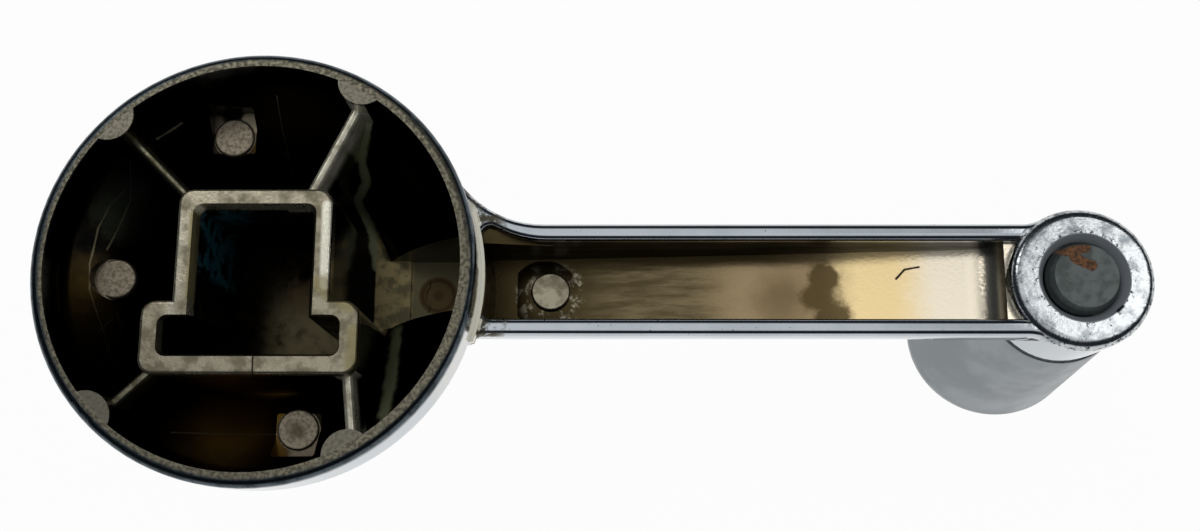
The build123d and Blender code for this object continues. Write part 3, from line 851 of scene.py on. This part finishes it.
@dataclass(frozen=True)
class PostEnds(Region):
    """Bare ends of the ejector posts in the dish and in the arm, and their pads. Sizes in millimetres."""

    posts: tuple[tuple[float, float], ...] = tuple(SIZES.post_at(angle) for angle in (180.0, 107.0, 283.0))
    end_height: Band = Band(SIZES.post_end - 0.6, SIZES.post_end + 0.2, 0.2)
    end_edge: Edge = Edge(SIZES.post + 0.12, SIZES.post + 0.02)
    rusty_post: int = 2  # the third of them
    rust_edge: Edge = Edge(1.8, 0.3, 0.8, strength=0.6)
    pad_height: Band = Band(-8.0, -7.5)
    facing_up: Edge = Edge(0.95, 0.99)  # of the surface's upward part
    bare_pad: tuple[Patch, ...] = (
        Patch((-3.2, 20.9), Edge(2.0, 1.3, 0.6)),
        Patch((-8.2, 20.4), Edge(1.8, 0.8, 0.6, strength=0.6)),
    )
    dark_pad: Patch = Patch((6.2, -21.6), Edge(3.6, 2.0, 0.8, strength=0.9))
    arm_end_height: Band = Band(SIZES.arm_post_end - 0.5, SIZES.arm_post_end + 0.2, 0.2)
    arm_end_edge: Edge = Edge(SIZES.post + 0.1, SIZES.post)

    def dress(self, ground: Ground, below: Surface) -> Surface:
        """Dress the pads, then the posts' ends.

        Args:
            ground: the casting's material.
            below: the surface so far.

        Returns:
            The surface with the posts on it.
        """
        pads = ground.overlap(ground.band(ground.z, self.pad_height), ground.fade(ground.up, self.facing_up))
        surface = PAD_BARE.over(ground, ground.overlap(ground.patches(self.bare_pad), pads), below)
        surface = PAD_DARK.over(ground, ground.overlap(ground.patch(self.dark_pad), pads), surface)
        height = ground.band(ground.z, self.end_height)
        ends = [ground.overlap(ground.patch(Patch(post, self.end_edge)), height) for post in self.posts]
        surface = BARE_POST.over(ground, ground.union(*ends), surface)
        rust = ground.patch(Patch(self.posts[self.rusty_post], self.rust_edge))
        surface = BROWN_RING.over(ground, ground.overlap(rust, ends[self.rusty_post]), surface)
        end = ground.patch(Patch(SIZES.arm_post, self.arm_end_edge))
        height = ground.band(ground.z, self.arm_end_height)
        return SOCKET_ZINC.over(ground, ground.overlap(end, height), surface)


@dataclass(frozen=True)
class Channel(Region):
    """The arm's channel: dark walls with painted shade, and a floor that goes from brown to cream, the cream
    partly a painted reflection. Sizes in millimetres.
    """

    off_hub: Edge = Edge(SIZES.rim + 0.1, SIZES.rim + 0.3)
    off_eye: Edge = Edge(SIZES.eye - 0.3, SIZES.eye + 0.1)
    before_eye: Edge = Edge(SIZES.throw - 2.0, SIZES.throw - 6.0)
    below_rails: Edge = Edge(SIZES.rail - 0.7, SIZES.rail - 1.3)
    facing_in: Edge = Edge(-0.15, 0.0)  # of the surface's upward part
    width: Band = Band(-SIZES.channel - 0.1, 8.4, 0.1)
    facing_up: Edge = Edge(0.45, 0.8)
    # From brown by the hub to cream and nearly white toward the eye; the cream and white are partly a painted
    # reflection.
    tones: tuple[tuple[Stain, Edge], ...] = (
        (FLOOR_GRIME_AND_SHADE, Edge(46.0, 36.0, 1.5)),
        (FLOOR_TAN, Edge(52.0, 60.0, 1.5)),
        (FLOOR_CREAM_AND_REFLECTION, Edge(68.0, 74.0, 1.5)),
        (FLOOR_PALE_AND_REFLECTION, Edge(78.0, 84.0, 1.5)),
    )
    blots: tuple[Patch, ...] = (
        Patch((69.4, 1.6), Edge(2.6, 1.6, 1.2, strength=0.9)),
        Patch((68.8, -1.0), Edge(3.2, 1.6, 1.4, strength=0.9)),
        Patch((70.4, -3.6), Edge(3.0, 1.8, 1.4, strength=0.9)),
        Patch((64.0, -1.0), Edge(5.5, 0.5, 1.6, strength=0.5)),
    )
    lump_ring: Band = Band(2.7, 4.0, 1.0)
    lump_slope: Edge = Edge(0.3, 0.6)
    lumps: Blotches = Blotches(Pattern.MIDDLE, 0.56, 0.05)
    # Painted shade on the floor along its upper wall, fading out toward the eye.
    wall_shade_side: Edge = Edge(2.6, 4.2, 0.9, Pattern.DRAWN)
    wall_shade_end: Edge = Edge(84.0, 60.0)
    crack: tuple[Stroke, ...] = (
        Stroke((78.5, 1.2), (79.6, 2.4), 0.12, 0.15, 0.1),
        Stroke((79.6, 2.4), (81.4, 2.7), 0.10, 0.15, 0.1),
    )

    def dress(self, ground: Ground, below: Surface) -> Surface:
        """Dress the channel: its walls, then the tones and marks of its floor, with painted shade and
        reflection.

        Args:
            ground: the casting's material.
            below: the surface so far.

        Returns:
            The surface with the channel on it.
        """
        inside = ground.overlap(
            ground.fade(ground.distance(0.0, 0.0), self.off_hub),
            ground.fade(ground.distance(SIZES.throw, 0.0), self.off_eye),
            ground.fade(ground.x, self.before_eye),
            ground.band(ground.y, self.width),
            ground.fade(ground.z, self.below_rails),
            ground.fade(ground.up, self.facing_in),
        )
        # The walls' near-black is painted shade.
        surface = CHANNEL_WALL_AND_SHADE.over(ground, inside, below)
        floor = ground.overlap(inside, ground.fade(ground.up, self.facing_up))
        surface = ARM_FLOOR_NICKEL.over(ground, floor, surface)
        for stain, edge in self.tones:
            surface = stain.over(ground, ground.overlap(floor, ground.fade(ground.x, edge)), surface)
        surface = FLOOR_BLOT.over(ground, ground.overlap(floor, ground.patches(self.blots)), surface)
        lumps = ground.overlap(
            ground.band(ground.distance(*SIZES.arm_post), self.lump_ring),
            ground.fade(ground.up, self.lump_slope),
            inside,
            ground.blotches(self.lumps),
        )
        surface = POST_GREY.over(ground, lumps, surface)
        # Painted shade along the floor by the upper wall.
        wall_shade = ground.overlap(ground.fade(ground.y, self.wall_shade_side), ground.fade(ground.x, self.wall_shade_end))
        surface = FLOOR_GRIME_AND_SHADE.over(ground, ground.overlap(floor, wall_shade), surface)
        return DARK_SEAM.over(ground, ground.overlap(floor, ground.strokes(self.crack)), surface)


@dataclass(frozen=True)
class Rails(Region):
    """The rails: unpolished skin and a bright crest by the hub, and pits. Sizes in millimetres."""

    skin_height: Edge = Edge(SIZES.rail - 1.6, SIZES.rail - 1.0)
    skin_start: Band = Band(SIZES.rim + 0.1, 30.0, 0.05)
    skin_end: Edge = Edge(31.0, 28.5)
    skin: Blotches = Blotches(Pattern.MIDDLE, 0.47, 0.06)
    crest_width: Band = Band(SIZES.rim + 0.05, SIZES.rim + 0.6, 0.1)
    crest_height: Edge = Edge(-7.2, -6.9)
    pitted_length: Band = Band(30.0, 90.0, 3.0)
    pitted_height: Edge = Edge(SIZES.rail - 1.3, SIZES.rail - 0.5)
    pits: Blotches = Blotches(Pattern.FINE, 0.69, 0.03)

    def dress(self, ground: Ground, below: Surface) -> Surface:
        """Dress the rails' root, the crest between them and their pits.

        Args:
            ground: the casting's material.
            below: the surface so far.

        Returns:
            The surface with the rails on it.
        """
        hub = ground.distance(0.0, 0.0)
        skin = ground.overlap(
            ground.fade(ground.z, self.skin_height),
            ground.band(hub, self.skin_start),
            ground.fade(hub, self.skin_end),
            ground.fade(ground.x, SIZES.arm_side),
            ground.blotches(self.skin),
        )
        surface = CAST_SKIN.over(ground, skin, below)
        crest = ground.overlap(
            ground.band(hub, self.crest_width),
            ground.fade(ground.z, self.crest_height),
            ground.fade(ground.x, SIZES.arm_side),
        )
        surface = RUBBED_SHINE_AND_HIGHLIGHT.over(ground, crest, surface)
        along = ground.overlap(
            ground.band(ground.x, self.pitted_length), ground.fade(ground.z, self.pitted_height)
        )
        return PIT.over(ground, ground.overlap(along, ground.blotches(self.pits)), surface)


@dataclass(frozen=True)
class Eye(Region):
    """The eye's lip and counterbore: bright, with pits along its edges, and a painted reflection on the
    chamfer. Sizes in millimetres.
    """

    lip_height: Edge = Edge(-9.0, -7.6)
    lip_edge: Edge = Edge(SIZES.eye + 0.3, SIZES.eye)
    outer_edge: Edge = Edge(7.0, 8.6)
    inner_edge: Edge = Edge(6.6, SIZES.chamfer)
    edge_pits: Blotches = Blotches(Pattern.FINE, 0.58, 0.03)
    lip_pits: Blotches = Blotches(Pattern.FINE, 0.68, 0.03)
    chamfer: Band = Band(SIZES.counterbore - 0.15, SIZES.chamfer + 0.05, 0.1)
    chamfer_height: Edge = Edge(-13.0, -11.0)
    facing_in: Edge = Edge(-0.2, -0.05)  # of the surface's upward part
    chip: Stroke = Stroke((SIZES.throw + 3.7, -4.2), (SIZES.throw + 4.3, -3.6), 0.25, 0.2, 0.4)

    def dress(self, ground: Ground, below: Surface) -> Surface:
        """Dress the lip with its pits, the chamfer and a chip.

        Args:
            ground: the casting's material.
            below: the surface so far.

        Returns:
            The surface with the eye on it.
        """
        away = ground.distance(SIZES.throw, 0.0)
        lip = ground.overlap(ground.fade(away, self.lip_edge), ground.fade(ground.z, self.lip_height))
        surface = PITTED_CHROME.over(ground, lip, below)
        edges = ground.union(ground.fade(away, self.outer_edge), ground.fade(away, self.inner_edge))
        pits = ground.union(
            ground.overlap(edges, ground.blotches(self.edge_pits)), ground.blotches(self.lip_pits)
        )
        surface = PIT.over(ground, ground.overlap(lip, pits), surface)
        chamfer = ground.overlap(
            ground.band(away, self.chamfer),
            ground.fade(ground.z, self.chamfer_height),
            ground.fade(ground.up, self.facing_in),
        )
        # A painted reflection: the chrome chamfer is given a light grey.
        surface = CHAMFER_PAINTED_REFLECTION.over(ground, chamfer, surface)
        return DARK_CHIP.over(ground, ground.stroke(self.chip), surface)


@dataclass(frozen=True)
class CrankCasting:
    """The die casting: bright outside, tarnished inside under a painted dark reflection, high edges rubbed,
    some with painted highlights.
    """

    regions: tuple[Region, ...] = (Channel(), Rails(), Dish(), Rim(), Socket(), PostEnds(), Eye())

    def finish(self, casting: bpy.types.Object) -> None:
        """Give the casting its one material, region by region.

        Args:
            casting: the model's own piece.
        """
        ground = Ground("chrome_plated_zinc_casting", Vector())
        surface = POLISHED_CHROME.lay(ground)
        for region in self.regions:
            surface = region.dress(ground, surface)
        ground.close(surface, casting)


# --- Pin and knob -----------------------------------------------------------------------------------------

# Dull steel: mid grey, nearly even, with a fine grain.
DULL_STEEL = Finish("#666c6a", "#5b615f", Pattern.MIDDLE, 0.54, 0.44, 0.52, 0.005)
# Rust: orange-brown, rough and flaky, not metal any more.
RUST = Finish("#7d5230", "#4b3524", Pattern.FINE, 0.50, 0.80, 0.90, 0.050, 0.0)
# Satin chrome over a smooth turned knob: even mid grey.
SATIN_CHROME = Finish("#8f9497", "#83888b", Pattern.BROAD, 0.50, 0.34, 0.40, 0.002)
# The knob's axis, where the pin and the knob turn, in metres.
KNOB_AXIS = Vector((SIZES.throw * MM, 0.0, 0.0))


@dataclass(frozen=True)
class KnobPin:
    """The headed pin: dull grey steel with a rust patch on its face. Sizes in millimetres."""

    rust: tuple[Stroke, ...] = (
        Stroke((-2.6, 3.0), (0.2, 3.4), 1.0, 0.15, 0.8),
        Stroke((-1.4, 2.4), (0.6, 1.4), 1.1, 0.15, 0.8),
    )

    def finish(self, pin: bpy.types.Object) -> None:
        """Give the pin its material.

        Args:
            pin: the model's own piece.
        """
        ground = Ground("dull_steel_pin", KNOB_AXIS)
        ground.close(RUST.over(ground, ground.strokes(self.rust), DULL_STEEL.lay(ground)), pin)


@dataclass(frozen=True)
class Knob:
    """The knob: smooth satin chrome, hardly worn."""

    def finish(self, knob: bpy.types.Object) -> None:
        """Give the knob its material."""
        ground = Ground("satin_chrome_knob", KNOB_AXIS)
        ground.close(SATIN_CHROME.lay(ground), knob)


# --- Studio -----------------------------------------------------------------------------------------------

# Floor paper: matt white.
PAPER = "#f4f4f4"
WHITE = "#ffffff"
# Surroundings as polished metal mirrors them, as they light the scene, and their darker band.
PALE_ROOM = "#f2f4f6"
ROOM_LIGHT = "#b4b6b8"
DARK_BAND = "#23292f"


@dataclass(frozen=True)
class Softbox:
    """A rectangular lamp that looks at a point.

    Attributes:
        name: name of the lamp.
        place: where it stands, in metres.
        width: in metres.
        height: in metres.
        power: in watts.
    """

    name: str
    place: tuple[float, float, float]
    width: float
    height: float
    power: float


@dataclass(frozen=True)
class Studio:
    """White floor, pale surroundings, soft lamps and the camera. Sizes in metres.

    Attributes:
        softboxes: the lamps.
        floor_half: half the floor's width.
        floor_gap: from the object down to the floor.
        floor_glow: share of plain white in the floor as it is seen.
        band_start: how far up a ray points where the dark band is clear, and where it is full.
        band_end: how far up it points where the band is full, and where it is clear again.
        camera_place: where the camera stands.
        camera_right: its right side.
        camera_up: its upper side.
        lens: focal length, mm.
        sensor: width of the sensor, mm.
        shift: shift of the frame, in widths.
        clip: nearest and farthest distance that it sees.
    """

    softboxes: tuple[Softbox, ...] = (
        Softbox("lamp_over_left", (-0.25, 0.35, 0.55), 0.30, 0.20, 0.5),
        Softbox("lamp_over_right", (0.45, 0.10, 0.50), 0.25, 0.25, 0.35),
    )
    floor_half: float = 1.5
    floor_gap: float = 0.0001
    floor_glow: float = 0.96
    band_start: tuple[float, float] = (0.04, 0.22)
    band_end: tuple[float, float] = (0.80, 0.97)
    camera_place: tuple[float, float, float] = (0.04162, -0.03370, 0.11766)
    camera_right: tuple[float, float, float] = (0.99993, 0.00351, -0.01122)
    camera_up: tuple[float, float, float] = (-0.00354, 0.98622, 0.16541)
    lens: float = 31.32
    sensor: float = 36.0
    shift: tuple[float, float] = (0.0049, 0.096)
    clip: tuple[float, float] = (0.005, 10.0)

    def build(self, low: Vector, high: Vector) -> None:
        """Make the floor, the surroundings, the lamps and the camera.

        Args:
            low: lowest corner of the object.
            high: highest corner of the object.
        """
        self.make_floor(low.z - self.floor_gap)
        self.light_surroundings()
        for box in self.softboxes:
            self.hang(box, (low + high) / 2)
        self.place_camera()

    def make_floor(self, level: float) -> None:
        """Lay a wide white floor just under the object.

        Args:
            level: its height.
        """
        half = self.floor_half
        mesh = bpy.data.meshes.new("floor")
        corners = [(-half, -half, level), (half, -half, level), (half, half, level), (-half, half, level)]
        mesh.from_pydata(corners, [], [(0, 1, 2, 3)])
        floor = bpy.data.objects.new("floor", mesh)
        bpy.context.scene.collection.objects.link(floor)
        material = bpy.data.materials.new("white_paper")
        material.use_nodes = True
        tree = material.node_tree
        tree.nodes.clear()
        paper = add_node(tree, "ShaderNodeBsdfDiffuse", {"Color": linear(PAPER)})
        glow = add_node(tree, "ShaderNodeEmission", {"Color": linear(WHITE), "Strength": 1.0})
        inputs = {0: self.seen_rays(tree), 1: self.floor_glow}
        share = add_node(tree, "ShaderNodeMath", inputs, operation="MULTIPLY")
        inputs = {0: share.outputs[0], 1: paper.outputs[0], 2: glow.outputs[0]}
        mixed = add_node(tree, "ShaderNodeMixShader", inputs)
        add_node(tree, "ShaderNodeOutputMaterial", {"Surface": mixed.outputs[0]})
        mesh.materials.append(material)
        floor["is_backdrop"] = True

    def seen_rays(self, tree: bpy.types.NodeTree) -> bpy.types.NodeSocket:
        """Find the rays that show the background: straight, mirrored and through glass.

        Args:
            tree: the node tree that needs them.

        Returns:
            A value of 1 on those rays and 0 on the others.
        """
        path = add_node(tree, "ShaderNodeLightPath")
        inputs = {0: path.outputs["Is Camera Ray"], 1: path.outputs["Is Glossy Ray"]}
        seen = add_node(tree, "ShaderNodeMath", inputs, operation="MAXIMUM").outputs[0]
        inputs = {0: seen, 1: path.outputs["Is Transmission Ray"]}
        return add_node(tree, "ShaderNodeMath", inputs, operation="MAXIMUM").outputs[0]

    def light_surroundings(self) -> None:
        """Light pale surroundings, with the darker band over the horizon that polished metal shows."""
        world = bpy.data.worlds.new("studio")
        bpy.context.scene.world = world
        world.use_nodes = True
        tree = world.node_tree
        tree.nodes.clear()
        ray = add_node(tree, "ShaderNodeTexCoord")
        upward = add_node(tree, "ShaderNodeSeparateXYZ", {0: ray.outputs["Generated"]}).outputs[2]
        ends = []
        for (low, high), start, end in ((self.band_start, 0.0, 1.0), (self.band_end, 1.0, 0.0)):
            inputs = {"Value": upward, "From Min": low, "From Max": high, "To Min": start, "To Max": end}
            share = add_node(tree, "ShaderNodeMapRange", inputs, interpolation_type="SMOOTHSTEP")
            ends.append(share.outputs[0])
        band = add_node(tree, "ShaderNodeMath", dict(enumerate(ends)), operation="MULTIPLY").outputs[0]
        inputs = {"Factor": band, COLOUR_A: linear(PALE_ROOM), COLOUR_B: linear(DARK_BAND)}
        mirrored = add_node(tree, "ShaderNodeMix", inputs, data_type="RGBA").outputs[COLOUR_RESULT]
        path = add_node(tree, "ShaderNodeLightPath").outputs
        inputs = {"Factor": path["Is Glossy Ray"], COLOUR_A: linear(ROOM_LIGHT), COLOUR_B: mirrored}
        lit = add_node(tree, "ShaderNodeMix", inputs, data_type="RGBA").outputs[COLOUR_RESULT]
        inputs = {"Factor": path["Is Camera Ray"], COLOUR_A: lit, COLOUR_B: linear(WHITE)}
        seen = add_node(tree, "ShaderNodeMix", inputs, data_type="RGBA").outputs[COLOUR_RESULT]
        glow = add_node(tree, "ShaderNodeBackground", {"Color": seen, "Strength": 1.0})
        add_node(tree, "ShaderNodeOutputWorld", {"Surface": glow.outputs[0]})

    def hang(self, box: Softbox, aim: Vector) -> None:
        """Hang one lamp and turn it to a point.

        Args:
            box: the lamp.
            aim: the point.
        """
        lamp = bpy.data.lights.new(box.name, "AREA")
        lamp.shape = "RECTANGLE"
        lamp.size = box.width
        lamp.size_y = box.height
        lamp.energy = box.power
        holder = bpy.data.objects.new(box.name, lamp)
        bpy.context.scene.collection.objects.link(holder)
        holder.location = box.place
        holder.rotation_mode = "QUATERNION"
        holder.rotation_quaternion = (aim - Vector(box.place)).to_track_quat("-Z", "Y")

    def place_camera(self) -> None:
        """Place the camera close over the arm, looking almost straight down."""
        lens = bpy.data.cameras.new("camera")
        lens.sensor_width = self.sensor
        lens.lens = self.lens
        lens.shift_x, lens.shift_y = self.shift
        lens.clip_start, lens.clip_end = self.clip
        lens.dof.use_dof = False
        holder = bpy.data.objects.new("camera", lens)
        bpy.context.scene.collection.objects.link(holder)
        right = Vector(self.camera_right).normalized()
        back = right.cross(Vector(self.camera_up)).normalized()
        up = back.cross(right)
        turn = Matrix((right, up, back)).transposed().to_4x4()
        holder.matrix_world = Matrix.Translation(self.camera_place) @ turn
        bpy.context.scene.camera = holder


def main() -> None:
    """Load the model, dress each piece, build the studio and report."""
    logging.basicConfig(level=logging.INFO, format="%(name)s: %(message)s")
    for spare in list(bpy.data.objects):
        bpy.data.objects.remove(spare)
    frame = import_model()
    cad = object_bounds()
    for node, piece in ((Node.CASTING, CrankCasting()), (Node.PIN, KnobPin()), (Node.KNOB, Knob())):
        piece.finish(frame["nodes"][node.value])
        LOG.info("dressed %s", node.value)
    Studio().build(*cad)
    bpy.context.scene.view_settings.view_transform = "Standard"


if __name__ == "__main__":
    main()
